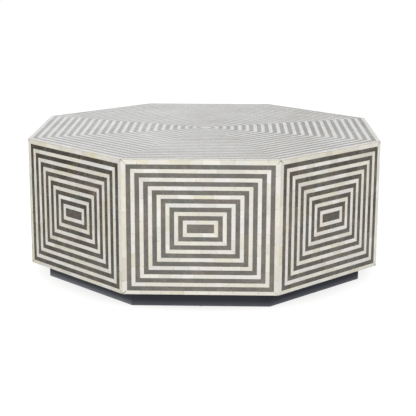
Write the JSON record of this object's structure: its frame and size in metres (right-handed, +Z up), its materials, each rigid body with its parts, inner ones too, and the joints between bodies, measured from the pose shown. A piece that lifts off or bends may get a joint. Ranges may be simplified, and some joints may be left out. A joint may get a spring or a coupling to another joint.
{
  "type": "coffee table",
  "caption": "Octagonal drum coffee table on a dark set-back plinth; every face is inlaid with nested rings of bone strips set in dark resin.",
  "frame": {"origin": "on the floor under the middle of the table", "axes": "+Z up; the side facing the camera faces -Y; +X to the right of that side"},
  "size_m": [1, 1, 0.415],
  "materials": {
    "bone": "polished cut bone, ivory with pieces of slightly different tint",
    "resin": "dark grey-brown casting resin, sanded flush and polished",
    "carcass_board": "bare fibreboard",
    "inner_timber": "planed softwood",
    "plinth_paint": "black satin paint",
    "screw_steel": "zinc plated",
    "glide_nylon": "moulded nylon"
  },
  "bodies": {
    "root": {"top_board": "carcass_board", "base_board": "carcass_board", "stiffener_rail_long": "inner_timber", "stiffener_rail_cross": "inner_timber", "corner_tongues": "inner_timber", "plinth_blocks": "inner_timber", "floor_glides": "glide_nylon", "cleat_screws": "screw_steel", "base_screws": "screw_steel", "plinth_screws": "screw_steel", "bone_strips_top": "bone", "resin_bed_top": "resin", "side_board_front": "carcass_board", "corner_block_1": "inner_timber", "top_cleat_front": "inner_timber", "plinth_board_front": "plinth_paint", "bone_strips_front": "bone", "resin_bed_front": "resin", "side_board_front_right": "carcass_board", "corner_block_2": "inner_timber", "top_cleat_front_right": "inner_timber", "plinth_board_front_right": "plinth_paint", "bone_strips_front_right": "bone", "resin_bed_front_right": "resin", "side_board_right": "carcass_board", "corner_block_3": "inner_timber", "top_cleat_right": "inner_timber", "plinth_board_right": "plinth_paint", "bone_strips_right": "bone", "resin_bed_right": "resin", "side_board_back_right": "carcass_board", "corner_block_4": "inner_timber", "top_cleat_back_right": "inner_timber", "plinth_board_back_right": "plinth_paint", "bone_strips_back_right": "bone", "resin_bed_back_right": "resin", "side_board_back": "carcass_board", "corner_block_5": "inner_timber", "top_cleat_back": "inner_timber", "plinth_board_back": "plinth_paint", "bone_strips_back": "bone", "resin_bed_back": "resin", "side_board_back_left": "carcass_board", "corner_block_6": "inner_timber", "top_cleat_back_left": "inner_timber", "plinth_board_back_left": "plinth_paint", "bone_strips_back_left": "bone", "resin_bed_back_left": "resin", "side_board_left": "carcass_board", "corner_block_7": "inner_timber", "top_cleat_left": "inner_timber", "plinth_board_left": "plinth_paint", "bone_strips_left": "bone", "resin_bed_left": "resin", "side_board_front_left": "carcass_board", "corner_block_8": "inner_timber", "top_cleat_front_left": "inner_timber", "plinth_board_front_left": "plinth_paint", "bone_strips_front_left": "bone", "resin_bed_front_left": "resin"}
  },
  "joints": []
}
